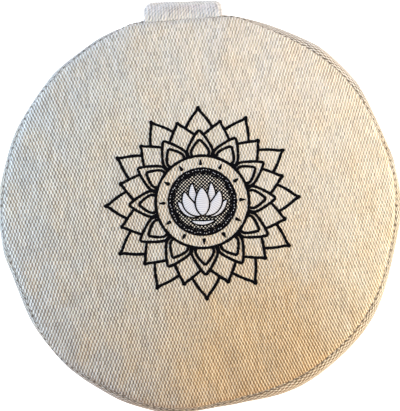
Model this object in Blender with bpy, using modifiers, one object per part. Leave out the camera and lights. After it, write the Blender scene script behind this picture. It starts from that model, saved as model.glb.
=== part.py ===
"""A zafu: a round, firmly filled meditation cushion of thick plain-weave cloth.

Four sewn pieces: a round top panel and a round base panel, the side band with what it
is stuffed with, and a wide carry handle whose ends are caught in the two seams.
Metres, +Z up. The origin is the centre of the flat base, and +Y points to the handle.
"""
import math

import bmesh
import bpy
from mathutils import Vector

OBJECT_NAME = "zafu_cushion"

# Driving dimensions
HEIGHT = 0.150            # floor to the top of the crown
BAND_RADIUS = 0.165       # widest part of the side band
SEAM_RADIUS = 0.1555      # both seams, where the panels meet the band
SEAM_FROM_FLOOR = 0.0125  # height of the base seam
CROWN = 0.0155            # rise of the top panel over its seam
REST_RADIUS = 0.134       # the flat round the cushion stands on
CLOTH = 0.0020            # thickness of the panels
GAP = 0.0003              # clearance between pieces that touch
SEAM_LEAN = Vector((-0.0015, 0.0010))  # how far the top seam has settled off the centre

HANDLE_X = -0.0134        # middle of the strap, left of the centre line
HANDLE_WIDTH = 0.0635
HANDLE_CLOTH = 0.0023     # a doubled strap, pressed flat
HANDLE_REACH = 0.0162     # from the seam to the strap's outer face at mid height
HANDLE_TURN = math.radians(1.9)  # the strap hangs slightly turned
HANDLE_BOW = 0.0010       # its long edges lie this much closer to the cushion
HANDLE_END = 0.0016       # the strap starts this far outside the seam's line
BAND_DRAWN_IN = 0.0030    # how much less the band bulges behind the strap

SEGMENTS = 72             # steps round the cushion
TOP_SEAM = HEIGHT - CROWN
BAND_MIDDLE = (TOP_SEAM + SEAM_FROM_FLOOR) / 2
HALF_BAND = (TOP_SEAM - SEAM_FROM_FLOOR) / 2

# The filling settles unevenly, so the outline swells and draws in: waves round the
# outline, their height in metres, and the direction of a crest in degrees from +X.
OUTLINE_WAVES = (
    {"waves": 2, "height": 0.0006, "crest": 55},
    {"waves": 4, "height": 0.0013, "crest": -37},
    {"waves": 5, "height": 0.0012, "crest": 28},
    {"waves": 6, "height": 0.0006, "crest": 2},
    {"waves": 7, "height": 0.0006, "crest": 0},
)

# The crown has soft hollows and rises too: where each is, how wide, and how high.
CROWN_DENTS = (
    {"x": -0.080, "y": 0.030, "width": 0.045, "height": 0.0016},
    {"x": 0.062, "y": -0.092, "width": 0.040, "height": -0.0018},
    {"x": 0.075, "y": 0.070, "width": 0.050, "height": 0.0012},
    {"x": -0.045, "y": -0.085, "width": 0.040, "height": 0.0010},
    {"x": 0.000, "y": 0.000, "width": 0.050, "height": -0.0010},
)


def clear_scene():
    for item in list(bpy.data.objects):
        bpy.data.objects.remove(item, do_unlink=True)


def collection(name):
    made = bpy.data.collections.new(name)
    bpy.context.scene.collection.children.link(made)
    return made


def cloth_material(name, colour, roughness):
    material = bpy.data.materials.new(name)
    material.use_nodes = True
    shader = material.node_tree.nodes["Principled BSDF"]
    shader.inputs["Base Color"].default_value = (*colour, 1.0)
    shader.inputs["Roughness"].default_value = roughness
    shader.inputs["Metallic"].default_value = 0.0
    return material


def add_object(name, mesh_data, material, parts):
    mesh = bpy.data.meshes.new(name)
    mesh_data.to_mesh(mesh)
    mesh_data.free()
    mesh.materials.append(material)
    mesh.shade_smooth()
    mesh.set_sharp_from_angle(angle=math.radians(40))
    made = bpy.data.objects.new(name, mesh)
    parts.objects.link(made)
    return made


def swell(angle):
    """How far the outline stands out at this angle, on a cushion of the mean radius."""
    return sum(
        wave["height"] * math.cos(wave["waves"] * (angle - math.radians(wave["crest"])))
        for wave in OUTLINE_WAVES
    )


def dents(x, y):
    """The crown's own rises and hollows, which die out towards the seam."""
    radius = math.hypot(x, y) / SEAM_RADIUS
    fade = max(0.0, 1.0 - radius ** 4)
    return fade * sum(
        dent["height"]
        * math.exp(-((x - dent["x"]) ** 2 + (y - dent["y"]) ** 2) / dent["width"] ** 2)
        for dent in CROWN_DENTS
    )


def crown_height(radius):
    """The underside of the top panel: a low dome that turns down at the seam."""
    share = min(radius / SEAM_RADIUS, 1.0)
    return TOP_SEAM + (CROWN - CLOTH) * (1.0 - share ** 2.5) ** 0.8


def base_height(radius):
    """The upper side of the base panel: flat where it rests, then up to the seam."""
    share = max(0.0, (radius - REST_RADIUS) / (SEAM_RADIUS - REST_RADIUS))
    return CLOTH + (SEAM_FROM_FLOOR - CLOTH) * share ** 1.7


def band_radius(height):
    """The side band bulges most at mid height and draws in to both seams."""
    share = (height - BAND_MIDDLE) / HALF_BAND
    return SEAM_RADIUS + (BAND_RADIUS - SEAM_RADIUS) * (1.0 - abs(share) ** 2.4)


def settled(point):
    """Moves a point of the round form to where the filling has settled it."""
    angle = math.atan2(point.y, point.x)
    radius = math.hypot(point.x, point.y)
    handle_angle = math.atan2(SEAM_RADIUS, HANDLE_X)
    away = (angle - handle_angle + math.pi) % (2 * math.pi) - math.pi
    beyond_seam = max(0.0, radius - SEAM_RADIUS) / (BAND_RADIUS - SEAM_RADIUS)
    drawn_in = BAND_DRAWN_IN * beyond_seam * math.exp(-((away / 0.32) ** 4))
    radius += swell(angle) * radius / BAND_RADIUS - drawn_in
    lean = SEAM_LEAN * (point.z / TOP_SEAM)
    lift = dents(point.x, point.y) if point.z > TOP_SEAM - CLOTH else 0.0
    return Vector((
        radius * math.cos(angle) + lean.x,
        radius * math.sin(angle) + lean.y,
        point.z + lift,
    ))


def turned(profile):
    """A profile of (radius, height) pairs, turned round Z and settled."""
    mesh_data = bmesh.new()
    ring = [mesh_data.verts.new((radius, 0.0, height)) for radius, height in profile]
    for first, second in zip(ring, ring[1:]):
        mesh_data.edges.new((first, second))
    bmesh.ops.spin(
        mesh_data,
        geom=mesh_data.verts[:] + mesh_data.edges[:],
        axis=(0, 0, 1),
        cent=(0, 0, 0),
        steps=SEGMENTS,
        angle=math.tau,
        use_merge=True,
    )
    bmesh.ops.remove_doubles(mesh_data, verts=mesh_data.verts[:], dist=1e-6)
    for vertex in mesh_data.verts:
        vertex.co = settled(vertex.co)
    bmesh.ops.recalc_face_normals(mesh_data, faces=mesh_data.faces[:])
    return mesh_data


def panel_radii(rings):
    """Radii from the centre to the seam, closer together where the panel turns down."""
    return [
        SEAM_RADIUS * math.sin(step / rings * math.pi / 2) for step in range(rings + 1)
    ]


def face_up(mesh_data):
    if sum(face.normal.z * face.calc_area() for face in mesh_data.faces) < 0:
        bmesh.ops.reverse_faces(mesh_data, faces=mesh_data.faces[:])


def thicken(made, thickness, offset):
    solidify = made.modifiers.new("cloth", "SOLIDIFY")
    solidify.thickness = thickness
    solidify.offset = offset
    solidify.use_even_offset = True


def build_top_panel(parts):
    """The embroidered round of cloth, domed over the filling."""
    mesh_data = turned([(radius, crown_height(radius)) for radius in panel_radii(12)])
    face_up(mesh_data)
    made = add_object(
        "top_panel",
        mesh_data,
        cloth_material("natural_top_cloth", (0.71, 0.66, 0.58), 0.9),
        parts,
    )
    thicken(made, CLOTH, 1.0)


def base_radii():
    """Radii of the base panel: the flat round in a few rings, then its turned-up rim."""
    flat = [REST_RADIUS * step / 4 for step in range(5)]
    rim_steps = 5
    rim = [
        REST_RADIUS + (SEAM_RADIUS - REST_RADIUS) * step / rim_steps
        for step in range(1, rim_steps + 1)
    ]
    return flat + rim


def build_base_panel(parts):
    """The round of cloth that the cushion rests on, flat but for its rim."""
    mesh_data = turned([(radius, base_height(radius)) for radius in base_radii()])
    face_up(mesh_data)
    made = add_object(
        "base_panel",
        mesh_data,
        cloth_material("natural_base_cloth", (0.68, 0.63, 0.55), 0.9),
        parts,
    )
    thicken(made, CLOTH, -1.0)


def build_filled_side_band(parts):
    """The side band and all that it holds, between the two panels."""
    top = [(radius, crown_height(radius) - GAP) for radius in panel_radii(12)]
    base = [(radius, base_height(radius) + GAP) for radius in base_radii()]
    steps = 12
    band = []
    for step in range(1, steps):
        height = BAND_MIDDLE + HALF_BAND * math.sin((0.5 - step / steps) * math.pi)
        band.append((band_radius(height), height))
    mesh_data = turned(top + band + base[::-1])
    add_object(
        "filled_side_band",
        mesh_data,
        cloth_material("natural_band_cloth", (0.70, 0.65, 0.57), 0.9),
        parts,
    )


def strap_point(across, along):
    """A point of the strap's inner face; across and along both run from -1 to 1.

    Along its length the strap follows a superellipse from one seam to the other: it
    leaves the seam outwards, turns down in a round bend and then hangs nearly straight.
    """
    turning = along * math.pi / 2
    height_share = math.copysign(abs(math.sin(turning)) ** (2 / 3), turning)
    reach_share = abs(math.cos(turning)) ** (2 / 3)
    aside = across * HANDLE_WIDTH / 2
    x = HANDLE_X + aside
    outline = SEAM_RADIUS + HANDLE_END + swell(math.atan2(SEAM_RADIUS, x))
    seam = math.sqrt(outline ** 2 - x ** 2)
    hung = HANDLE_REACH - HANDLE_CLOTH - HANDLE_BOW * across ** 2
    outside = SEAM_RADIUS + hung + aside * math.tan(HANDLE_TURN)
    height = BAND_MIDDLE + height_share * (HALF_BAND + 2 * GAP)
    lean = SEAM_LEAN * (height / TOP_SEAM)
    y = seam + (outside - seam) * reach_share
    return Vector((x + lean.x, y + lean.y, height))


def build_carry_handle(parts):
    """A wide strap that leaves the top seam, bows out and goes down to the base seam."""
    mesh_data = bmesh.new()
    bmesh.ops.create_grid(mesh_data, x_segments=8, y_segments=22, size=1.0)
    for vertex in mesh_data.verts:
        vertex.co = strap_point(vertex.co.x, vertex.co.y)
    # The grid's faces looked up, which is now towards the cushion.
    bmesh.ops.reverse_faces(mesh_data, faces=mesh_data.faces[:])
    made = add_object(
        "carry_handle",
        mesh_data,
        cloth_material("natural_strap_cloth", (0.70, 0.66, 0.60), 0.9),
        parts,
    )
    thicken(made, HANDLE_CLOTH, 1.0)


def main():
    clear_scene()
    parts = collection(OBJECT_NAME)
    build_filled_side_band(parts)
    build_top_panel(parts)
    build_base_panel(parts)
    build_carry_handle(parts)


main()
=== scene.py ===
import math
import random

import bmesh
import bpy
from mathutils import Matrix, Vector
from mathutils.bvhtree import BVHTree


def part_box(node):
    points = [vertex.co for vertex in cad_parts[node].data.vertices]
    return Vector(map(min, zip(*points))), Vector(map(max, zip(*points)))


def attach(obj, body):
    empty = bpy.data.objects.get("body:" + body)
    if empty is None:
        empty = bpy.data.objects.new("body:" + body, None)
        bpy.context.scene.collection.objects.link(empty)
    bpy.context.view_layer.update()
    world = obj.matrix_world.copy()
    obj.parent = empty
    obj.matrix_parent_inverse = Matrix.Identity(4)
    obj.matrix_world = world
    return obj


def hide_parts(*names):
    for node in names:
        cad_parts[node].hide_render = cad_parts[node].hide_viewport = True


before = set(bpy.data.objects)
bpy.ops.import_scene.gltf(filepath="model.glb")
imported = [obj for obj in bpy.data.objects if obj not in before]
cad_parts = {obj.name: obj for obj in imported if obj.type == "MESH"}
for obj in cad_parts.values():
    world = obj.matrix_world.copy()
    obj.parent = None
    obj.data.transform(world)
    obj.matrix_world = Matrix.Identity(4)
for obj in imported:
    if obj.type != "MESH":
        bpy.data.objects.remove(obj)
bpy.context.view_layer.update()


# The filled bag
# A zafu is a bag of thick cloth packed tight with husk, and the husk pushes every panel
# out between its seams. The bag is blown up here from a slack form, held at both seams,
# so the crown rises, the shoulders round and the cloth draws in where it is sewn.
panel_low, panel_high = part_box("top_panel")
TOP_SEAM = panel_low.z            # height of the seam round the top panel
BASE_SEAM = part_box("base_panel")[1].z    # and of the one round the base panel
READ_INSIDE = 0.0008              # a seam's radius is read from the solid this far inside it
VOXEL = 0.005                     # mesh size of the simulated bag
FRAMES = 20
MOST_MOVED = 0.008                # no point of the bag moves further than this
SEAM_HOLD = 0.005                 # the seams hold the cloth this far to each side
FLOOR_HOLD = 0.0036               # and below this height it stands flat on the floor
HANDLE_ANGLE = math.radians(95)   # where the carry handle is
SLACK_CROWN = 0.60                # it starts with this share of the crown's rise
WIDEST = 0.1622                   # the sides' mean radius once they are blown up
BLOWN = 0.0012                    # how far the pressure pushes them out
DRAWN_IN = 0.003                  # how much less they bulge behind the handle
DRAWN_SPREAD = 0.17               # radians to each side of its middle

# The filling settles unevenly: waves round the outline and round the top seam, their
# number and height in millimetres, and the direction of a crest in degrees from +X.
OUTLINE_WAVES = (
    (1, 0.42, 21), (2, 0.62, 29), (3, 0.41, -9), (4, 1.92, -35), (5, 1.50, 30),
    (6, 1.02, 3), (7, 1.13, -1), (8, 0.92, 2), (9, 0.99, 17), (10, 1.91, 6),
)
TOP_SEAM_WAVES = (
    (0, 2.40, 0), (1, 0.88, -38), (2, 0.69, 18), (3, 1.42, 8), (4, 0.45, -8),
    (5, 0.64, -15), (6, 0.33, 27), (7, 0.76, 20), (8, 0.50, -4), (9, 0.20, -16),
    (10, 0.65, 8),
)
# The handle's stiff ends hold the cloth out beside them: the direction of each place in
# degrees, and how far it stands out at the top seam and at the sides, in millimetres.
HELD_OUT = ((109, 2.8, 1.8), (80, 2.6, 0.4))
HELD_SPREAD = 0.10                # radians to each side of such a place


def merged(node):
    """A CAD node's mesh with its loose triangles joined."""
    mesh_data = bmesh.new()
    mesh_data.from_mesh(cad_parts[node].data)
    bmesh.ops.remove_doubles(mesh_data, verts=mesh_data.verts[:], dist=1e-5)
    return mesh_data


def outward(angle):
    return Vector((math.cos(angle), math.sin(angle), 0.0))


band_solid = merged("filled_side_band")
band_solid_tree = BVHTree.FromBMesh(band_solid)


def solid_radius(angle, height):
    """How far the plain solid reaches from the Z axis at this angle and height."""
    away = outward(angle)
    hit = band_solid_tree.ray_cast(away * 0.3 + Vector((0, 0, height)), -away)[0]
    return math.hypot(hit.x, hit.y)


def swell(waves, angle):
    """How far these waves stand out at this angle."""
    return sum(
        height / 1000 * math.cos(count * (angle - math.radians(crest)))
        for count, height, crest in waves
    )


def held_out(angle, part):
    """How far the handle's ends hold the seam (part 1) or the sides (part 2) out here."""
    return sum(
        place[part] / 1000 * math.exp(-(((angle - math.radians(place[0])) / HELD_SPREAD) ** 2))
        for place in HELD_OUT
    )


def off_handle(angle):
    """The angle from the middle of the carry handle."""
    return (angle - HANDLE_ANGLE + math.pi) % math.tau - math.pi


def seam_shift(angle):
    """How far the top seam lies outside the plain solid's."""
    return swell(TOP_SEAM_WAVES, angle) + held_out(angle, 1)


def top_seam_radius(angle):
    return solid_radius(angle, TOP_SEAM - READ_INSIDE) + seam_shift(angle)


def base_seam_radius(angle):
    return solid_radius(angle, BASE_SEAM + READ_INSIDE)


def from_seams(point):
    """The distance of a point from the nearer seam."""
    angle = math.atan2(point.y, point.x)
    radius = math.hypot(point.x, point.y)
    return min(
        math.hypot(radius - top_seam_radius(angle), point.z - TOP_SEAM),
        math.hypot(radius - base_seam_radius(angle), point.z - BASE_SEAM),
    )


def link(name, mesh):
    made = bpy.data.objects.new(name, mesh)
    bpy.context.scene.collection.objects.link(made)
    return made


def evaluated_mesh(made):
    graph = bpy.context.evaluated_depsgraph_get()
    return bpy.data.meshes.new_from_object(made.evaluated_get(graph))


def slack_radius(angle):
    """The widest radius at this angle before the bag is blown up."""
    drawn_in = DRAWN_IN * math.exp(-((off_handle(angle) / DRAWN_SPREAD) ** 4))
    return WIDEST - BLOWN + swell(OUTLINE_WAVES, angle) + held_out(angle, 2) - drawn_in


slack = band_solid.copy()
for vertex in slack.verts:
    angle = math.atan2(vertex.co.y, vertex.co.x)
    up = min(max((vertex.co.z - BASE_SEAM) / (TOP_SEAM - BASE_SEAM), 0.0), 1.0)
    seam = base_seam_radius(angle) * (1.0 - up) + top_seam_radius(angle) * up
    plain_seam = seam - seam_shift(angle) * up
    radius = math.hypot(vertex.co.x, vertex.co.y)
    if vertex.co.z > TOP_SEAM:
        vertex.co.z = TOP_SEAM + (vertex.co.z - TOP_SEAM) * SLACK_CROWN
    if radius > plain_seam:
        widest = solid_radius(angle, (TOP_SEAM + BASE_SEAM) / 2)
        out = min((radius - plain_seam) / (widest - plain_seam), 1.0)
        out = 1.0 - (1.0 - out) ** 2      # the tight filling rounds the band's shoulders
        radius = seam + (slack_radius(angle) - seam) * out
    else:
        radius *= seam / plain_seam
    vertex.co.xy = (outward(angle) * radius).xy
bag_mesh = bpy.data.meshes.new("filled_bag")
slack.to_mesh(bag_mesh)
bag = link("filled_bag", bag_mesh)
remesh = bag.modifiers.new("even_mesh", "REMESH")
remesh.mode = "VOXEL"
remesh.voxel_size = VOXEL
even_mesh = evaluated_mesh(bag)
bag.modifiers.clear()
bag.data = even_mesh

held = bag.vertex_groups.new(name="held_by_seams")
before = [vertex.co.copy() for vertex in bag.data.vertices]
for vertex in bag.data.vertices:
    hold = min(max(1.6 - from_seams(vertex.co) / SEAM_HOLD, 0.0), 1.0)
    if vertex.co.z < FLOOR_HOLD:
        hold = 1.0
    if hold > 0.0:
        held.add([vertex.index], hold, "REPLACE")
cloth = bag.modifiers.new("cloth", "CLOTH").settings
cloth.quality = 5
cloth.tension_stiffness = 15
cloth.compression_stiffness = 15
cloth.shear_stiffness = 15
cloth.bending_stiffness = 4
cloth.use_pressure = True
cloth.uniform_pressure_force = 4
cloth.shrink_min = -0.008     # the cloth is cut a little larger than the form
cloth.vertex_group_mass = held.name
cloth.effector_weights.gravity = 0
for step in range(1, FRAMES + 1):
    bpy.context.scene.frame_set(step)
blown = evaluated_mesh(bag)
bpy.context.scene.frame_set(1)
bag.modifiers.clear()
for vertex, start in zip(blown.vertices, before):
    moved = vertex.co - start
    vertex.co = start + moved * min(1.0, MOST_MOVED / max(moved.length, 1e-9))
bag.data = blown

smooth = bag.modifiers.new("smooth", "SUBSURF")
smooth.levels = 1
smooth.render_levels = 1
bag_tree = BVHTree.FromObject(bag, bpy.context.evaluated_depsgraph_get())
bpy.data.objects.remove(bag)


def bag_radius(angle, height):
    """How far the filled bag reaches from the Z axis."""
    hit = bag_tree.ray_cast(Vector((0, 0, height)), outward(angle))[0]
    return math.hypot(hit.x, hit.y)


def bag_height(x, y, side):
    """The height of the bag's crown (side 1) or of its underside (side -1)."""
    hit = bag_tree.ray_cast(Vector((x, y, (TOP_SEAM + BASE_SEAM) / 2)), Vector((0, 0, side)))[0]
    return hit.z if hit else None


# The woven cloth
# All four pieces are cut from one roll: an undyed cotton and linen plain weave, thick
# and dry to the touch, with cream warp yarns that stand up over thin taupe weft yarns.
# The weft's darker taupe is partly its own colour and partly painted shade between the
# warp floats.
WARP = 1.24                       # mm from one warp yarn to the next
WEFT = 2.86                       # mm from one weft yarn to the next
GRAIN_TURN = math.radians(5)      # the cloth was cut slightly off its grain
UNPULLED = 26.0                   # mm left of the middle, where no float tips over
PAINTED_HIGHLIGHT_SIDE = 0.5                 # radians from +X to the side with the painted highlight
WARM_POOL_MIDDLE = (35.6, -120.6, 0.0)  # mm, the middle of the painted pool of warm light
FLAT_MAP = "flat_cloth"           # the UV map holds the cloth's own flat metres


def linear(colour_hex):
    """A colour given as sRGB hex, as the linear values that a shader takes."""
    values = [int(colour_hex[start:start + 2], 16) / 255 for start in (0, 2, 4)]
    return [v / 12.92 if v <= 0.04045 else ((v + 0.055) / 1.055) ** 2.4 for v in values] + [1.0]


def add_node(tree, kind, settings, *feeds, **links):
    """Adds a node. A setting is a property or the value of an input, by name or number.

    Feeds go to its inputs in order and links to the ones they name: each is a socket or a
    number, and None leaves an input as it is. A colour mix has its colours at inputs 6
    and 7, and gives the mixed one at output 2.
    """
    made = tree.nodes.new(kind)
    for name, value in settings.items():
        if isinstance(name, str) and hasattr(made, name):
            setattr(made, name, value)
        else:
            made.inputs[name].default_value = value
    named = [(name.replace("_", " "), feed) for name, feed in links.items()]
    for key, feed in list(enumerate(feeds)) + named:
        if isinstance(feed, bpy.types.NodeSocket):
            tree.links.new(feed, made.inputs[key])
        elif feed is not None:
            made.inputs[key].default_value = feed
    return made


def new_material(name):
    material = bpy.data.materials.new(name)
    material.use_nodes = True
    return material, material.node_tree, material.node_tree.nodes["Principled BSDF"]


def woven_cloth(name, painted_highlight_hex, painted_warm_pool, spread, pull):
    """Undyed plain weave: matt and hairy, cream floats over darker gaps, uneven yarns.

    The gaps go from taupe to the second colour across the piece: a painted highlight,
    paler towards the lit side. The third argument is the share of tan colour added in one
    area near its front, a painted pool of warm light. Spread and pull say how much the
    cloth was drawn out of shape, by mm for each square mm.
    """
    material, tree, shader = new_material(name)
    flat = add_node(tree, "ShaderNodeUVMap", {"uv_map": FLAT_MAP})
    millimetres = add_node(
        tree, "ShaderNodeMapping",
        {"Scale": (1000, 1000, 1), "Rotation": (0, 0, -GRAIN_TURN)}, flat.outputs["UV"],
    ).outputs["Vector"]
    # Yarns wander: slowly across the cloth, and a little from one float to the next.
    place = millimetres
    for spacing, drift in ((38.0, 3.0), (7.0, 0.8)):
        wander = add_node(
            tree, "ShaderNodeTexNoise", {"Scale": 1 / spacing, "Detail": 1.0},
            Vector=millimetres,
        ).outputs["Color"]
        place = add_node(
            tree, "ShaderNodeVectorMath",
            {"operation": "MULTIPLY_ADD", 1: (drift, drift, 0.0)}, wander, None, place,
        ).outputs["Vector"]
    across_along = add_node(tree, "ShaderNodeSeparateXYZ", {}, place)
    across, along = across_along.outputs["X"], across_along.outputs["Y"]
    squared = add_node(
        tree, "ShaderNodeMath", {"operation": "MULTIPLY"}, across, across
    ).outputs[0]
    spread_out = add_node(
        tree, "ShaderNodeMath", {"operation": "MULTIPLY_ADD"}, squared, spread, across
    ).outputs[0]
    warp_count = add_node(
        tree, "ShaderNodeMath", {"operation": "DIVIDE"}, spread_out, WARP
    ).outputs[0]
    weft_count = add_node(
        tree, "ShaderNodeMath", {"operation": "DIVIDE"}, along, WEFT
    ).outputs[0]
    row = add_node(tree, "ShaderNodeMath", {"operation": "ROUND"}, weft_count).outputs[0]
    along_float = add_node(
        tree, "ShaderNodeMath", {"operation": "SUBTRACT"}, weft_count, row
    ).outputs[0]
    # Where the cloth is pulled on the bias, each float tips over.
    from_pull = add_node(
        tree, "ShaderNodeMath", {"operation": "ADD"}, across, UNPULLED
    ).outputs[0]
    bias = add_node(
        tree, "ShaderNodeMath", {"operation": "MULTIPLY"}, from_pull, along
    ).outputs[0]
    lean = add_node(
        tree, "ShaderNodeMath", {"operation": "MULTIPLY_ADD"}, bias, -pull, 0.014
    ).outputs[0]
    leant = add_node(
        tree, "ShaderNodeMath", {"operation": "MULTIPLY_ADD"}, along_float, lean, warp_count
    ).outputs[0]
    yarn = add_node(tree, "ShaderNodeMath", {"operation": "ROUND"}, leant).outputs[0]
    # Over and under: positive on the floats of the cream warp, negative on the weft.
    half_turns = [
        add_node(tree, "ShaderNodeMath", {"operation": "MULTIPLY"}, count, math.pi).outputs[0]
        for count in (leant, weft_count)
    ]
    waves = [
        add_node(tree, "ShaderNodeMath", {"operation": "COSINE"}, turns).outputs[0]
        for turns in half_turns
    ]
    weave = add_node(
        tree, "ShaderNodeMath", {"operation": "MULTIPLY"}, *waves
    ).outputs[0]
    # Each yarn is thicker and thinner along its length, and loose fibres blur its edges.
    stretched = add_node(
        tree, "ShaderNodeMapping", {"Scale": (0.6, 0.045, 1)}, millimetres
    ).outputs["Vector"]
    yarn_tone = add_node(
        tree, "ShaderNodeTexNoise", {"Scale": 1.0, "Detail": 2.0}, Vector=stretched
    ).outputs["Fac"]
    slubs = add_node(
        tree, "ShaderNodeMath", {"operation": "MULTIPLY_ADD"}, yarn_tone, 1.0, -0.5
    ).outputs[0]
    fibres = add_node(
        tree, "ShaderNodeTexNoise", {"Scale": 1.6, "Detail": 3.0, "Roughness": 0.65},
        Vector=millimetres,
    ).outputs["Fac"]
    fibre = add_node(
        tree, "ShaderNodeMath", {"operation": "SUBTRACT"}, fibres, 0.5
    ).outputs[0]
    rough_weave = add_node(
        tree, "ShaderNodeMath", {"operation": "MULTIPLY_ADD"}, fibre, 1.0, weave
    ).outputs[0]
    slubby_weave = add_node(
        tree, "ShaderNodeMath", {"operation": "ADD"}, rough_weave, slubs
    ).outputs[0]
    warp_share = add_node(
        tree, "ShaderNodeMapRange",
        {"interpolation_type": "SMOOTHSTEP", "From Min": -0.45, "From Max": 0.5},
        slubby_weave,
    ).outputs["Result"]
    # The gaps are painted paler towards the lit side: a painted highlight, where strong
    # light washes out the shade between the floats.
    towards_painted_highlight = add_node(
        tree, "ShaderNodeVectorMath",
        {"operation": "DOT_PRODUCT", 1: (math.cos(PAINTED_HIGHLIGHT_SIDE), math.sin(PAINTED_HIGHLIGHT_SIDE), 0.0)},
        millimetres,
    ).outputs["Value"]
    painted_highlight_share = add_node(
        tree, "ShaderNodeMapRange",
        {"interpolation_type": "SMOOTHSTEP", "From Min": -110.0, "From Max": 110.0},
        towards_painted_highlight,
    ).outputs["Result"]
    # The weft's taupe is partly its own colour and partly painted shade between the floats.
    weft_colour = add_node(
        tree, "ShaderNodeMix", {"data_type": "RGBA", 6: linear("928576"), 7: linear(painted_highlight_hex)},
        painted_highlight_share,
    ).outputs[2]
    # Undyed flax is grey in some lengths of yarn and tan in others.
    lengthwise = add_node(
        tree, "ShaderNodeMapping", {"Scale": (1 / 24, 1 / 38, 1)}, millimetres
    ).outputs["Vector"]
    patches = add_node(
        tree, "ShaderNodeTexNoise", {"Scale": 1.0, "Detail": 2.0}, Vector=lengthwise
    ).outputs["Fac"]
    tan_lengths = add_node(
        tree, "ShaderNodeMapRange", {"From Min": 0.42, "From Max": 0.72, "To Max": 0.45},
        patches,
    ).outputs["Result"]
    # A painted pool of warm light near the front, given as more tan colour in floats and gaps;
    # the tan lengths above are the yarn's own.
    from_warm_pool = add_node(
        tree, "ShaderNodeVectorMath", {"operation": "DISTANCE", 1: WARM_POOL_MIDDLE}, millimetres,
    ).outputs["Value"]
    in_painted_warm_pool = add_node(
        tree, "ShaderNodeMapRange",
        {"interpolation_type": "SMOOTHSTEP", "From Min": 115.0, "From Max": 20.0,
         "To Max": painted_warm_pool},
        from_warm_pool,
    ).outputs["Result"]
    tan_and_warm_pool_share = add_node(
        tree, "ShaderNodeMath", {"operation": "ADD", "use_clamp": True}, tan_lengths,
        in_painted_warm_pool,
    ).outputs[0]
    gap_colour = add_node(
        tree, "ShaderNodeMix", {"data_type": "RGBA", 7: linear("A98961")},
        tan_and_warm_pool_share, None, None, None, None, None, weft_colour,
    ).outputs[2]
    warp_colour = add_node(
        tree, "ShaderNodeMix", {"data_type": "RGBA", 6: linear("EFEAE4"), 7: linear("F2E0C6")},
        tan_and_warm_pool_share,
    ).outputs[2]
    # Each float and each gap has its own tone.
    yarn_and_row = add_node(tree, "ShaderNodeCombineXYZ", {}, yarn, row).outputs["Vector"]
    chance_tone = add_node(
        tree, "ShaderNodeTexWhiteNoise", {"noise_dimensions": "2D"}, yarn_and_row
    ).outputs["Value"]
    gap_tone = add_node(
        tree, "ShaderNodeMath", {"operation": "MULTIPLY_ADD"}, chance_tone, 0.5, 0.72
    ).outputs[0]
    float_tone = add_node(
        tree, "ShaderNodeMath", {"operation": "MULTIPLY_ADD"}, chance_tone, 0.14, 0.93
    ).outputs[0]
    gap = add_node(
        tree, "ShaderNodeVectorMath", {"operation": "SCALE"}, gap_colour, Scale=gap_tone
    ).outputs["Vector"]
    warp_float = add_node(
        tree, "ShaderNodeVectorMath", {"operation": "SCALE"}, warp_colour, Scale=float_tone
    ).outputs["Vector"]
    colour = add_node(
        tree, "ShaderNodeMix", {"data_type": "RGBA"},
        warp_share, None, None, None, None, None, gap, warp_float,
    ).outputs[2]
    slow_tone = add_node(
        tree, "ShaderNodeMath", {"operation": "ADD"}, yarn_tone, patches
    ).outputs[0]
    tone = add_node(
        tree, "ShaderNodeMath", {"operation": "MULTIPLY_ADD"}, slow_tone, 0.16, 0.84
    ).outputs[0]
    toned = add_node(
        tree, "ShaderNodeVectorMath", {"operation": "SCALE"}, colour, Scale=tone
    ).outputs["Vector"]
    tree.links.new(toned, shader.inputs["Base Color"])
    relief = add_node(
        tree, "ShaderNodeMath", {"operation": "MULTIPLY_ADD"}, fibre, 0.5, weave
    ).outputs[0]
    bump = add_node(
        tree, "ShaderNodeBump", {"Strength": 1.0, "Distance": 0.0005}, Height=relief
    )
    tree.links.new(bump.outputs["Normal"], shader.inputs["Normal"])
    shader.inputs["Roughness"].default_value = 0.92
    shader.inputs["IOR"].default_value = 1.5
    shader.inputs["Specular IOR Level"].default_value = 0.25
    shader.inputs["Sheen Weight"].default_value = 0.15
    shader.inputs["Sheen Roughness"].default_value = 0.5
    return material


# The top panel was drawn out of shape in the embroidery frame. The other pieces weren't.
# Its gaps carry a painted highlight towards the lit side and a painted pool of warm light near
# its front.
drawn_cloth = woven_cloth(
    "undyed_plain_weave_drawn", "C8BCA8", painted_warm_pool=1.0, spread=0.00025, pull=0.000051
)
natural_cloth = woven_cloth(
    "undyed_plain_weave", "928576", painted_warm_pool=0.0, spread=0.0, pull=0.0
)


# The side band
# One long strip goes round the cushion between the two panels. It bulges with the
# filling, and both its edges turn in at the seams. Its ends are joined behind the handle.
STITCH = 0.0051                   # length of one stitch, with the pucker it makes
seam_length = math.tau * (panel_high.x - panel_low.x) / 2
STITCHES = round(seam_length / STITCH)
SEGMENTS = STITCHES * 4
GROOVE = 0.0014                   # how deep the seam is drawn in at a stitch
GROOVE_HALF_WIDTH = 0.0020
ROLL = 0.0055                     # how far from the seam the cloth has rolled over it
SHOULDER = 0.6                    # the share of the band's bulge that this roll makes


def near_handle(angle, reach):
    """1 within this reach of the handle's middle, in radians, and 0 further off."""
    return math.exp(-((off_handle(angle) / reach) ** 8))


def under_handle(angle):
    """1 where the carry handle's end fills the seam."""
    return near_handle(angle, 0.19)


def beside_handle(angle):
    """1 at the handle and beside it, where its stiff ends fill out the seam."""
    return near_handle(angle, 0.60)


def pucker(angle):
    """1 where a stitch draws the cloth in, less in between."""
    return (0.78 + 0.22 * math.cos(angle * STITCHES)) * (1.0 - 0.8 * beside_handle(angle))


def rolled(to_seam):
    """The share of its height that a roll of cloth has reached this far from the seam."""
    return math.sqrt(max(0.0, 1.0 - max(0.0, 1.0 - to_seam / ROLL) ** 2))


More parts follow.
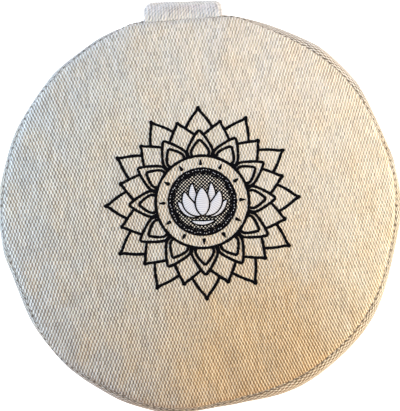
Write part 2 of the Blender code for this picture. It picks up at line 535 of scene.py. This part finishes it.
def band_radius(angle, height):
    """The band rolls out of the seam in a round shoulder and then bulges slightly."""
    to_seam = max(min(TOP_SEAM - height, height - BASE_SEAM), 0.0)
    inside = min(max(height, BASE_SEAM + 0.001), TOP_SEAM - 0.001)
    middle = (TOP_SEAM + BASE_SEAM) / 2
    seam = top_seam_radius(angle) if height > middle else base_seam_radius(angle)
    shoulder = SHOULDER * (1.0 - under_handle(angle))
    roll = (bag_radius(angle, middle) - seam) * shoulder * rolled(to_seam)
    bulge = (bag_radius(angle, inside) - seam) * (1.0 - shoulder)
    drawn = math.exp(-((to_seam / GROOVE_HALF_WIDTH) ** 2))
    return seam + roll + bulge - GROOVE * drawn * pucker(angle)


def spun(profile):
    """A line of (radius, height) pairs spun round Z, as a bmesh."""
    mesh_data = bmesh.new()
    line = [mesh_data.verts.new((radius, 0, height)) for radius, height in profile]
    for first, second in zip(line, line[1:]):
        mesh_data.edges.new((first, second))
    bmesh.ops.spin(
        mesh_data, geom=mesh_data.verts[:] + mesh_data.edges[:], axis=(0, 0, 1),
        cent=(0, 0, 0), steps=SEGMENTS, angle=math.tau, use_merge=True,
    )
    bmesh.ops.remove_doubles(mesh_data, verts=mesh_data.verts[:], dist=1e-7)
    return mesh_data


def finish_piece(name, mesh_data, material):
    """Makes the object, on the one body there is, with its finish."""
    bmesh.ops.recalc_face_normals(mesh_data, faces=mesh_data.faces[:])
    mesh = bpy.data.meshes.new(name)
    mesh_data.to_mesh(mesh)
    mesh_data.free()
    mesh.materials.append(material)
    mesh.shade_smooth()
    made = link(name, mesh)
    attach(made, "root")
    return made


def edge_spaced(length, first, growth, most):
    """Distances from 0 to length whose steps grow by a factor from the first to the most."""
    found, step = [0.0], first
    while found[-1] + 1.5 * step < length:
        found.append(found[-1] + step)
        step = min(step * growth, most)
    return found + [length]


band_height = TOP_SEAM - BASE_SEAM
from_edge = edge_spaced(band_height / 2, 0.0004, 1.22, 0.004)
heights = [TOP_SEAM - distance for distance in from_edge]
heights += [BASE_SEAM + distance for distance in reversed(from_edge[:-1])]
HIDDEN = 0.0012                   # the parts under the panels lie this much lower
PLAIN_SIDE = -0.8                 # a direction with no handle near, to measure the strip
# A point's radius is first a share of the seam's, or 2 for the band's own points.
hidden_top = [(share, TOP_SEAM) for share in (0.0, 0.3, 0.6, 0.85, 0.96)]
hidden_base = [(share, BASE_SEAM) for share in (0.96, 0.85, 0.6, 0.3, 0.0)]
band_mesh = spun(hidden_top + [(2.0, height) for height in heights] + hidden_base)
flat_across = [0.0]               # the strip's flat width, from the top seam to each height
for height, lower in zip(heights, heights[1:]):
    step_out = band_radius(PLAIN_SIDE, height) - band_radius(PLAIN_SIDE, lower)
    flat_across.append(flat_across[-1] + math.hypot(height - lower, step_out))
band_uv = band_mesh.loops.layers.uv.new(FLAT_MAP)
for face in band_mesh.faces:
    angles = []
    for corner in face.loops:
        angle = math.atan2(corner.vert.co.y, corner.vert.co.x) - HANDLE_ANGLE
        angles.append(angle % math.tau)
    wraps = max(angles) - min(angles) > math.pi
    for corner, angle in zip(face.loops, angles):
        if wraps and angle < math.pi:
            angle += math.tau
        row = min(range(len(heights)), key=lambda n: abs(heights[n] - corner.vert.co.z))
        # The strip was cut along the roll, so its warp goes round the cushion.
        corner[band_uv].uv = (flat_across[row], angle * seam_length / math.tau)
for vertex in band_mesh.verts:
    angle = math.atan2(vertex.co.y, vertex.co.x)
    share = math.hypot(vertex.co.x, vertex.co.y)
    height = vertex.co.z
    if share < 1.0:
        top = abs(height - TOP_SEAM) < 1e-6
        seam = top_seam_radius(angle) if top else base_seam_radius(angle)
        place = outward(angle) * seam * share
        side = 1 if top else -1
        place.z = bag_height(place.x, place.y, side) - side * HIDDEN
        vertex.co = place
    else:
        vertex.co = outward(angle) * band_radius(angle, height) + Vector((0, 0, height))
side_band = finish_piece("side_band", band_mesh, natural_cloth)
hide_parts("filled_side_band")


# The top and base panels
# Two discs of the same cloth, sewn to the band with their edges turned in. The filling
# domes the top one. The base one lies flat on the floor and turns up at its rim.
PANEL_RADIUS = 0.155              # the mean radius of its seam
RISE = 0.0028                     # how far the roll of cloth rises over the seam
RIM_INSET = 0.0006                # the bag's height is read this far inside the rim
PANEL_SHEET = 0.0012              # thickness that is modelled, inside the turned edge


def panel(name, material, side, seam_radius_at, seam_height):
    """A panel over the bag's crown (side 1) or under the bag (side -1)."""
    rim = edge_spaced(PANEL_RADIUS, 0.0004, 1.22, 0.005)
    shares = [1.0 - distance / PANEL_RADIUS for distance in rim]
    mesh_data = spun([(share, 0.0) for share in shares])
    uv = mesh_data.loops.layers.uv.new(FLAT_MAP)
    for vertex in mesh_data.verts:
        angle = math.atan2(vertex.co.y, vertex.co.x)
        share = math.hypot(vertex.co.x, vertex.co.y)
        flat = outward(angle) * seam_radius_at(angle) * share
        for corner in vertex.link_loops:
            corner[uv].uv = (flat.x, flat.y)
        to_seam = seam_radius_at(angle) * (1.0 - share)
        sunk = 1.0 - rolled(to_seam)
        if side == 1:
            sunk *= 1.0 - 0.4 * under_handle(angle)
        drawn = math.exp(-((to_seam / GROOVE_HALF_WIDTH) ** 2)) * pucker(angle)
        inset = flat * (1.0 - RIM_INSET / PANEL_RADIUS)
        found = bag_height(inset.x, inset.y, side)
        height = found if found is not None else seam_height
        height += side * (RISE * (1.0 - sunk) - 0.5 * GROOVE * drawn)
        flat.z = max(height, 0.0)
        vertex.co = flat
    bmesh.ops.recalc_face_normals(mesh_data, faces=mesh_data.faces[:])
    total = sum(face.normal.z * face.calc_area() for face in mesh_data.faces)
    if total * side < 0:
        bmesh.ops.reverse_faces(mesh_data, faces=mesh_data.faces[:])
    mesh = bpy.data.meshes.new(name)
    mesh_data.to_mesh(mesh)
    mesh_data.free()
    mesh.materials.append(material)
    mesh.shade_smooth()
    made = link(name, mesh)
    sheet = made.modifiers.new("cloth", "SOLIDIFY")
    sheet.thickness = PANEL_SHEET
    sheet.offset = -1.0
    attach(made, "root")
    return made


top_panel = panel("top_cloth", drawn_cloth, 1, top_seam_radius, TOP_SEAM)
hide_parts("top_panel")
base_panel = panel("base_cloth", natural_cloth, -1, base_seam_radius, BASE_SEAM)
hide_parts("base_panel")


# The carry handle
# A strap of the same cloth, folded double, pressed flat and caught in both seams. It
# stands clear of the band for the fingers. Its gaps are painted pale: a painted highlight
# where strong light washes it out.
handle_highlit_cloth = woven_cloth(
    "undyed_plain_weave_handle_highlight", "CFCBC6", painted_warm_pool=0.0, spread=0.0, pull=0.0
)
STRAP_WIDTH = 0.0622              # at the seams
STRAP_WAIST = 0.065               # the share of it that is lost where it hangs free
STRAP_CLOTH = 0.0023              # two layers
STRAP_TURN = math.radians(1.9)    # it hangs slightly turned
STRAP_CURL = 0.0024               # its long edges curl this far towards the cushion
STRAP_GRAIN = math.radians(12)    # it was cut off the cloth's grain
STRAP_ASIDE = 0.0023              # its middle lies this far right of the plain solid's
STRAP_PROUD = 0.0006              # its ends lie this far over the seams
STRAP_TUCKED = 0.0008             # and reach this far into them
STRAP_ROUND = 0.94                # its side view: 1 is an ellipse, less is squarer
SEAM_LEAN = Vector((-0.0015, 0.0010))  # how far the top seam has settled off the centre
strap_low, strap_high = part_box("carry_handle")
strap_middle = (strap_low.x + strap_high.x) / 2 + STRAP_ASIDE
strap_reach = strap_high.y - STRAP_CLOTH
strap_gap = strap_reach - top_seam_radius(math.pi / 2)


def strap_point(across, along):
    """A point of the strap's inner face; across and along both run from -1 to 1."""
    turning = along * math.pi / 2
    up = math.copysign(abs(math.sin(turning)) ** STRAP_ROUND, turning)
    fold = 1.0 - abs(math.cos(turning)) ** STRAP_ROUND
    height = (TOP_SEAM + BASE_SEAM) / 2 + up * (band_height / 2 - STRAP_CLOTH + STRAP_PROUD)
    lean = SEAM_LEAN * (height / TOP_SEAM)
    aside = across * STRAP_WIDTH / 2 * (1.0 - STRAP_WAIST * (1.0 - fold))
    x = strap_middle + aside
    angle = math.atan2(top_seam_radius(math.pi / 2), x)
    seam_radius = top_seam_radius(angle) if up > 0 else base_seam_radius(angle)
    seam = math.sqrt(seam_radius ** 2 - x ** 2) - STRAP_TUCKED
    curl = STRAP_CURL * abs(across) ** 20
    hung = strap_reach + aside * math.tan(STRAP_TURN) - curl + lean.y - SEAM_LEAN.y / 2
    # The stiff strap bends straight across and only meets the round seam at its end.
    y = hung - strap_gap * fold - (hung - seam - strap_gap) * fold ** 3
    return Vector((x + lean.x, y, height))


STRAP_STEPS = (28, 120)
strap_mesh = bmesh.new()
strap_uv = strap_mesh.loops.layers.uv.new(FLAT_MAP)
bmesh.ops.create_grid(
    strap_mesh, x_segments=STRAP_STEPS[0], y_segments=STRAP_STEPS[1], size=1.0
)
travelled = [0.0]
for step in range(STRAP_STEPS[1]):
    ends = [strap_point(0.0, 2 * (step + more) / STRAP_STEPS[1] - 1) for more in (0, 1)]
    travelled.append(travelled[-1] + (ends[1] - ends[0]).length)
for vertex in strap_mesh.verts:
    across, along = vertex.co.x, vertex.co.y
    across *= 1.28 - 0.28 * across ** 2           # closer steps where the edges curl
    length = travelled[round((along + 1) / 2 * STRAP_STEPS[1])]
    flat = Vector((across * STRAP_WIDTH / 2, length))
    for corner in vertex.link_loops:
        corner[strap_uv].uv = Matrix.Rotation(-STRAP_GRAIN, 2) @ flat
    vertex.co = strap_point(across, along)
# The grid's faces looked up, which is now towards the cushion.
bmesh.ops.reverse_faces(strap_mesh, faces=strap_mesh.faces[:])
strap_data = bpy.data.meshes.new("carry_strap")
strap_mesh.to_mesh(strap_data)
strap_mesh.free()
strap_data.materials.append(handle_highlit_cloth)
strap_data.shade_smooth()
carry_strap = link("carry_strap", strap_data)
layers = carry_strap.modifiers.new("two_layers", "SOLIDIFY")
layers.thickness = STRAP_CLOTH
layers.offset = 1.0
folds = carry_strap.modifiers.new("folded_edges", "BEVEL")
folds.width = 0.0009
folds.segments = 3
folds.limit_method = "ANGLE"
folds.angle_limit = math.radians(50)
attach(carry_strap, "root")
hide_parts("carry_handle")


# The seam stitches
# Both seams are sewn by machine with a thick taupe thread. Each stitch lies in the
# groove of its seam and draws the cloth in, so that it shows as a short dark dash. The
# thread's dark taupe is partly its own colour and partly painted shade, for the shadow
# in the pit at each stitch.
STITCH_LENGTH = 0.0030
STITCH_WIDTH = 0.0010
STITCH_SUNK = 0.0009              # how deep the cloth beside the handle hides them
seam_thread, thread_tree, thread_shader = new_material("taupe_polyester_thread")
thread_shader.inputs["Roughness"].default_value = 0.7
thread_shader.inputs["Sheen Weight"].default_value = 0.1
along_thread = add_node(thread_tree, "ShaderNodeTexCoord", {})
twist = add_node(
    thread_tree, "ShaderNodeTexNoise", {"Scale": 900.0, "Detail": 2.0},
    Vector=along_thread.outputs["Object"],
)
thread_colour = add_node(
    thread_tree, "ShaderNodeMix",
    {"data_type": "RGBA", 6: linear("5C564F"), 7: linear("877E74")},
    Factor=twist.outputs["Fac"],
)
thread_tree.links.new(thread_colour.outputs[2], thread_shader.inputs["Base Color"])
thread_bump = add_node(
    thread_tree, "ShaderNodeBump", {"Strength": 0.4, "Distance": 0.0002},
    Height=twist.outputs["Fac"],
)
thread_tree.links.new(thread_bump.outputs["Normal"], thread_shader.inputs["Normal"])


def seam_stitches(name, seam_radius_at, seam_height):
    mesh_data = bmesh.new()
    for number in range(STITCHES):
        angle = math.tau * number / STITCHES
        if under_handle(angle) > 0.5:
            continue
        sunk = STITCH_SUNK * beside_handle(angle)    # the cloth rolls over them there
        radius = seam_radius_at(angle) + 0.0002 - sunk
        made = bmesh.ops.create_icosphere(mesh_data, subdivisions=1, radius=1.0)
        size = Matrix.Diagonal((STITCH_WIDTH / 2, STITCH_LENGTH / 2, STITCH_WIDTH / 2, 1.0))
        place = Matrix.Translation(outward(angle) * radius + Vector((0, 0, seam_height - sunk)))
        turn = Matrix.Rotation(angle, 4, "Z")
        bmesh.ops.transform(mesh_data, matrix=place @ turn @ size, verts=made["verts"])
    return finish_piece(name, mesh_data, seam_thread)


seam_stitches("top_seam_stitches", top_seam_radius, TOP_SEAM + 0.0002)
seam_stitches("base_seam_stitches", base_seam_radius, BASE_SEAM - 0.0002)


# The embroidered lotus pattern
# Satin stitch in black rayon thread: three tiers of twelve lotus petals, each tier
# behind the one inside it, stand on a ring, and twelve short marks point at them.
PATTERN_CENTRE = Vector((0.0028, 0.0086))
PATTERN_TURN = math.radians(2.75)
RING = 36.7                       # the pattern's own sizes are in millimetres
REACH = 76.0                      # from its middle to the tips of the outer petals
LINE = 2.4                        # width of its lines
LINE_HEIGHT = 0.55                # how far the thread stands up
RIDGE = 1.6                       # from one ridge of thread to the next
top_tree = BVHTree.FromObject(top_panel, bpy.context.evaluated_depsgraph_get())
chance = random.Random(12)


def on_crown(x, y):
    """A point of the pattern, in its own millimetres, on the top panel's cloth."""
    # The cloth was drawn while it was stitched, so the pattern spreads towards the front.
    x += 1.1 * x / REACH - 1.6 * x * y / REACH ** 2 - 0.5
    y *= 1.003 - 0.018 * y / REACH
    turned = Matrix.Rotation(PATTERN_TURN, 2) @ Vector((x / 1000, y / 1000))
    place = PATTERN_CENTRE + turned
    hit = top_tree.ray_cast(Vector((place.x, place.y, 1.0)), Vector((0, 0, -1)))
    return hit[0], hit[1]


def smoothed(points, spacing, closed=False):
    """Points along the smooth line through these ones, at about this spacing."""
    count = len(points)
    found = []
    for number in range(count if closed else count - 1):
        first, second = points[number], points[(number + 1) % count]
        before = points[number - 1] if number or closed else first * 2 - second
        last = number + 2 < count or closed
        after = points[(number + 2) % count] if last else second * 2 - first
        steps = max(1, round((second - first).length / spacing))
        for step in range(steps):
            t = step / steps
            found.append(0.5 * (
                2 * first + (second - before) * t
                + (2 * before - 5 * first + 4 * second - after) * t ** 2
                + (3 * first - before - 3 * second + after) * t ** 3
            ))
    if not closed:
        found.append(points[-1])
    return found


def laid_thread(
    mesh_data, points, widths, height, closed=False, uneven=0.13, lift=0.0, around=8
):
    """Satin stitch along a line: a low rounded bar of thread, sunk a little in the cloth."""
    uv = mesh_data.loops.layers.uv["thread"]
    line = points + [points[0]] if closed else points
    steps = len(line) - 1
    made = bmesh.ops.create_grid(mesh_data, x_segments=steps, y_segments=around, size=1.0)
    rows = [[] for _ in line]
    for vertex in made["verts"]:
        rows[round((vertex.co.x + 1) / 2 * steps)].append((vertex, vertex.co.y))
    wobble = [1.0 + chance.uniform(-uneven, uneven) for _ in line]
    wobble[-1] = wobble[0] if closed else wobble[-1]
    travelled = 0.0
    for number, row in enumerate(rows):
        here = line[number]
        back = line[number - 1] if number else (line[-2] if closed else here)
        ahead = line[number + 1] if number < steps else (line[1] if closed else here)
        along = (ahead - back).normalized()
        aside = Vector((-along.y, along.x))
        half = widths[number % len(widths)] / 2 * wobble[number]
        tall = height * min(1.0, half / 0.5)
        if number:
            travelled += (here - line[number - 1]).length
        for vertex, across in row:
            around_it = across * math.pi
            shift = aside * half * math.cos(around_it)
            place, normal = on_crown(*(here + shift))
            rise = math.sin(around_it)
            rise = lift + tall * rise if rise > -0.01 else 0.25 * rise
            vertex.co = place + normal * rise / 1000
            for corner in vertex.link_loops:
                corner[uv].uv = (travelled / 1000, across * half / 1000)


def thread_mesh():
    mesh_data = bmesh.new()
    mesh_data.loops.layers.uv.new("thread")
    return mesh_data


def finish_thread(name, mesh_data, material):
    bmesh.ops.remove_doubles(mesh_data, verts=mesh_data.verts[:], dist=2e-6)
    return finish_piece(name, mesh_data, material)


def satin_thread(name, light_hex, dark_hex, roughness, gloss):
    """Rayon thread laid side by side: silky filaments with fine ridges across the line."""
    material, tree, shader = new_material(name)
    along = add_node(tree, "ShaderNodeUVMap", {"uv_map": "thread"})
    # Four threads lie in each ridge here, because single ones are too fine to show.
    wave_scale = 1000 / RIDGE / 20 * math.tau     # the texture has 20 radians to the unit
    ridges = add_node(
        tree, "ShaderNodeTexWave",
        {"wave_type": "BANDS", "bands_direction": "X", "Scale": wave_scale,
         "Distortion": 1.5, "Detail": 2.0, "Detail Scale": 2.0},
        Vector=along.outputs["UV"],
    )
    # The valleys between the ridges are painted darker than their tops: painted shade between
    # the threads.
    colour = add_node(
        tree, "ShaderNodeMix", {"data_type": "RGBA", 6: linear(dark_hex), 7: linear(light_hex)},
        Factor=ridges.outputs["Fac"],
    )
    tree.links.new(colour.outputs[2], shader.inputs["Base Color"])
    bump = add_node(
        tree, "ShaderNodeBump", {"Strength": 0.5, "Distance": 0.00025},
        Height=ridges.outputs["Fac"],
    )
    tree.links.new(bump.outputs["Normal"], shader.inputs["Normal"])
    shader.inputs["Roughness"].default_value = roughness
    shader.inputs["IOR"].default_value = 1.5
    shader.inputs["Specular IOR Level"].default_value = gloss
    return material


black_thread = satin_thread("black_rayon_thread", "0B0B12", "040406", 0.6, 0.04)


def round_the_axis(degrees, radius, aside=0.0):
    """A point at this radius on a petal's axis, and this far to its left."""
    angle = math.radians(degrees)
    out = Vector((math.sin(angle), math.cos(angle)))
    return out * radius + Vector((-out.y, out.x)) * aside


# Half widths of a petal at radii from its base on the ring to its tip.
INNER_PETAL = ((36.4, 8.9), (38.6, 9.9), (41.0, 10.1), (44.5, 8.9), (48.5, 6.7), (52.5, 4.3),
               (55.5, 2.0), (57.9, 0.0))
INNER_LINING = ((36.6, 6.2), (38.2, 7.0), (40.2, 7.1), (43.0, 5.8), (46.0, 3.7), (50.2, 0.0))
MIDDLE_PETAL = ((50.0, 11.9), (53.6, 9.9), (57.0, 7.4), (61.0, 4.3), (64.0, 1.6), (67.3, 0.0))
OUTER_PETAL = ((56.5, 11.9), (60.6, 10.1), (65.5, 7.3), (70.0, 4.1), (73.6, 1.3), (77.4, 0.0))


def half_width(petal, radius):
    for (near, near_half), (far, far_half) in zip(petal, petal[1:]):
        if near <= radius <= far:
            return near_half + (far_half - near_half) * (radius - near) / (far - near)
    return 0.0


def behind(point, petal, first_axis):
    """Whether a point lies behind one of a tier's twelve petals."""
    degrees = math.degrees(math.atan2(point.x, point.y)) - first_axis
    off_axis = math.radians((degrees + 15.0) % 30.0 - 15.0)
    return point.length * math.sin(abs(off_axis)) < half_width(
        petal, point.length * math.cos(off_axis)
    )


petals = thread_mesh()
for axis in range(0, 360, 30):
    for petal, turn, hidden_by in (
        (INNER_PETAL, 0.0, ()),
        (INNER_LINING, 0.0, ()),
        (MIDDLE_PETAL, 15.0, ((INNER_PETAL, 0.0),)),
        (OUTER_PETAL, 0.0, ((MIDDLE_PETAL, 15.0), (INNER_PETAL, 0.0))),
    ):
        for side in (-1, 1):
            shape = [
                round_the_axis(axis + turn, radius, side * half) for radius, half in petal
            ]
            flank = smoothed(shape, 1.0)
            flank = [
                point for point in flank
                if not any(behind(point, front, first) for front, first in hidden_by)
            ]
            widths = [LINE] * len(flank)
            widths[-1] = 0.5 * LINE       # it runs out in a point
            laid_thread(petals, flank, widths, LINE_HEIGHT)
    between = [round_the_axis(axis + 15.0, radius) for radius in (36.6, 38.0, 39.6, 41.2)]
    laid_thread(petals, between, [4.4, 3.4, 2.0, 0.6], LINE_HEIGHT)
finish_thread("petal_outlines", petals, black_thread)

rings = thread_mesh()
for radius, width, height in (
    (RING, LINE, LINE_HEIGHT), (26.5, 1.7, 0.6), (25.0, 2.4, 0.35), (23.5, 1.7, 0.5),
    (22.1, 1.5, 0.4),
):
    steps = round(math.tau * radius)      # a point to each millimetre
    circle = [round_the_axis(360 * step / steps, radius) for step in range(steps)]
    laid_thread(rings, circle, [width] * steps, height, closed=True, uneven=0.16)
for axis in range(0, 360, 30):
    mark = [round_the_axis(axis, radius) for radius in (29.0, 29.7, 30.7, 31.8, 32.9, 33.9)]
    laid_thread(rings, mark, [1.3, 2.9, 2.7, 2.1, 1.4, 0.6], 0.6)
finish_thread("rings_and_marks", rings, black_thread)


# The embroidered middle
# The disc inside is laid with pale thread under a black diagonal net, and its border is
# dotted. A lotus flower in raised white satin stitch, edged in black, stands on the net.
DISC = 23.0                       # radius of the pale ground
NET = 2.0                         # distance between the net's threads
cream_thread = satin_thread("cream_rayon_thread", "F6F1E8", "DCD4C6", 0.6, 0.2)
ground = thread_mesh()
bmesh.ops.create_circle(ground, cap_ends=True, segments=96, radius=DISC)
bmesh.ops.inset_region(ground, faces=ground.faces[:], thickness=0.6)
ground_uv = ground.loops.layers.uv["thread"]
bmesh.ops.triangulate(ground, faces=ground.faces[:])
bmesh.ops.subdivide_edges(
    ground, edges=[edge for edge in ground.edges if edge.calc_length() > 3.0], cuts=8,
    use_grid_fill=True,
)
for vertex in ground.verts:
    x, y = vertex.co.x, vertex.co.y
    edge = math.hypot(x, y) > DISC - 0.1
    place, normal = on_crown(x, y)
    for corner in vertex.link_loops:
        corner[ground_uv].uv = (x / 1000, y / 1000)
    vertex.co = place + normal * (-0.2 if edge else 0.25) / 1000
finish_thread("pale_ground", ground, cream_thread)

net = thread_mesh()
for slope in (45, 135):
    direction = Vector((math.cos(math.radians(slope)), math.sin(math.radians(slope))))
    aside = Vector((-direction.y, direction.x))
    lines = round(DISC / NET)
    for number in range(-lines, lines + 1):
        off = number * NET
        if abs(off) > DISC - 0.5:
            continue
        reach = math.sqrt(DISC ** 2 - off ** 2)
        steps = max(2, round(2 * reach / NET))
        points = [
            aside * off + direction * (2 * step / steps - 1) * reach
            for step in range(steps + 1)
        ]
        laid_thread(net, points, [1.15] * len(points), 0.55, uneven=0.08)
finish_thread("diagonal_net", net, black_thread)

# Each white petal from the back of the flower to its front: base, bend and tip of its
# middle line, its half width, and how high it lies over those behind it.
FLOWER = (
    ((2.0, -9.0), (9.0, 1.0), (7.4, 14.6), 3.6, 0.3),
    ((-2.0, -9.0), (-9.0, 1.0), (-7.4, 14.6), 3.6, 0.3),
    ((1.0, -10.0), (13.0, -10.5), (19.2, 0.8), 3.3, 0.4),
    ((-1.0, -10.0), (-13.0, -10.5), (-19.2, 0.8), 3.3, 0.4),
    ((1.0, -10.5), (13.5, -4.5), (13.6, 8.2), 4.3, 0.65),
    ((-1.0, -10.5), (-13.5, -4.5), (-13.6, 8.2), 4.3, 0.65),
    ((0.0, -11.0), (0.0, 0.0), (0.0, 11.2), 5.4, 0.95),
    ((-9.0, -15.2), (0.0, -18.8), (9.0, -15.2), 1.5, 0.3),
)
white_thread = satin_thread("white_rayon_thread", "E6E7F0", "C4C6D2", 0.5, 0.2)
PETAL_STEPS = 24
flower = thread_mesh()
flower_edges = thread_mesh()
for base, bend, tip, half, lift in FLOWER:
    base, bend, tip = Vector(base), Vector(bend), Vector(tip)
    shares = [step / PETAL_STEPS for step in range(PETAL_STEPS + 1)]
    middle = [
        base * (1 - t) ** 2 + bend * 2 * t * (1 - t) + tip * t ** 2 for t in shares
    ]
    halves = [half * max(math.sin(math.pi * t ** 0.85), 0.0) ** 0.7 for t in shares]
    bodies = [2 * value + 0.1 for value in halves]
    laid_thread(flower, middle, bodies, 0.45, uneven=0.01, lift=lift, around=16)
    outline = []
    for side in (1, -1):
        order = range(PETAL_STEPS) if side == 1 else range(PETAL_STEPS, 0, -1)
        for number in order:
            ahead = middle[min(number + 1, PETAL_STEPS)] - middle[max(number - 1, 0)]
            aside = Vector((-ahead.y, ahead.x)).normalized()
            outline.append(middle[number] + aside * side * (halves[number] + 0.25))
    laid_thread(
        flower_edges, outline, [1.25] * len(outline), 0.4, closed=True, uneven=0.05,
        lift=lift + 0.1,
    )
finish_thread("white_flower", flower, white_thread)
finish_thread("flower_outlines", flower_edges, black_thread)

SPECKS = 66
BORDER = 25.0                     # radius of the dotted border
specks = thread_mesh()
for number in range(SPECKS):
    degrees = 360 * (number + chance.uniform(-0.3, 0.3)) / SPECKS
    radius = BORDER + chance.uniform(-0.6, 0.6)
    length = chance.uniform(0.35, 0.75)
    ends = [
        round_the_axis(degrees + share * math.degrees(length / radius), radius)
        for share in (-1.0, 0.0, 1.0)
    ]
    laid_thread(specks, ends, [0.35, 0.8, 0.35], 0.75)
finish_thread("border_specks", specks, white_thread)


# The floor, the lights and the camera
# The cushion stands on a lit white sheet and is seen from straight above. The main light
# is behind its right side. Cool window light comes from the left, warm light from the
# right and the front.
floor_mesh = bmesh.new()
bmesh.ops.create_circle(floor_mesh, cap_ends=True, segments=96, radius=6.0)
for vertex in floor_mesh.verts:
    vertex.co.z = -0.0002
floor_data = bpy.data.meshes.new("floor")
floor_mesh.to_mesh(floor_data)
floor_mesh.free()
floor_material, _, floor_shader = new_material("pale_matt_floor")
floor_shader.inputs["Base Color"].default_value = linear("F7F7F7")
floor_shader.inputs["Roughness"].default_value = 0.9
floor_shader.inputs["Emission Color"].default_value = linear("FFFFFF")
floor_shader.inputs["Emission Strength"].default_value = 0.75   # a lit white sheet
floor_data.materials.append(floor_material)
floor = link("floor", floor_data)

TARGET = Vector((0.0, 0.0, 0.12))       # where the lights are aimed


def add_soft_light(name, place, watts, colour_hex, size):
    data = bpy.data.lights.new(name, "AREA")
    data.energy = watts
    data.color = linear(colour_hex)[:3]
    data.size = size
    made = link(name, data)
    made.location = place
    made.rotation_euler = (TARGET - Vector(place)).to_track_quat("-Z", "Y").to_euler()
    made.visible_camera = False


add_soft_light("key", (0.25, 0.40, 0.50), 1.63, "FBF5FF", size=0.3)
add_soft_light("window_left", (-1.1, 0.35, 0.35), 9.67, "AFCFFF", size=0.6)
add_soft_light("fill_left", (-0.50, 0.0, 0.52), 2.29, "E1F9FF", size=0.4)
add_soft_light("warm_right", (0.75, -0.10, 0.45), 6.90, "FFF2CE", size=0.4)
add_soft_light("warm_front", (0.15, -0.90, 0.70), 2.00, "FF9800", size=0.5)

world = bpy.data.worlds.new("studio")
world.use_nodes = True
background = world.node_tree.nodes["Background"]
background.inputs["Color"].default_value = linear("FFFDFB")
background.inputs["Strength"].default_value = 0.15
bpy.context.scene.world = world
bpy.context.scene.view_settings.view_transform = "Standard"

CAMERA_HEIGHT = 2.5
PIXEL = 0.330 / 400.6             # metres a pixel at the widest part of the cushion
PICTURE = (400, 411)
WIDEST_HEIGHT = 0.073             # height of the widest part
CENTRE_PIXEL = (199.5, 212.0)     # the cushion's middle in the picture
SENSOR = 36.0
camera_data = bpy.data.cameras.new("camera")
camera_data.sensor_width = SENSOR
camera_data.lens = SENSOR * (CAMERA_HEIGHT - WIDEST_HEIGHT) / (PIXEL * PICTURE[1])
camera = link("camera", camera_data)
camera.location = (
    (PICTURE[0] / 2 - CENTRE_PIXEL[0]) * PIXEL,
    (CENTRE_PIXEL[1] - PICTURE[1] / 2) * PIXEL,
    CAMERA_HEIGHT,
)
camera_data.clip_end = 50.0
bpy.context.scene.camera = camera
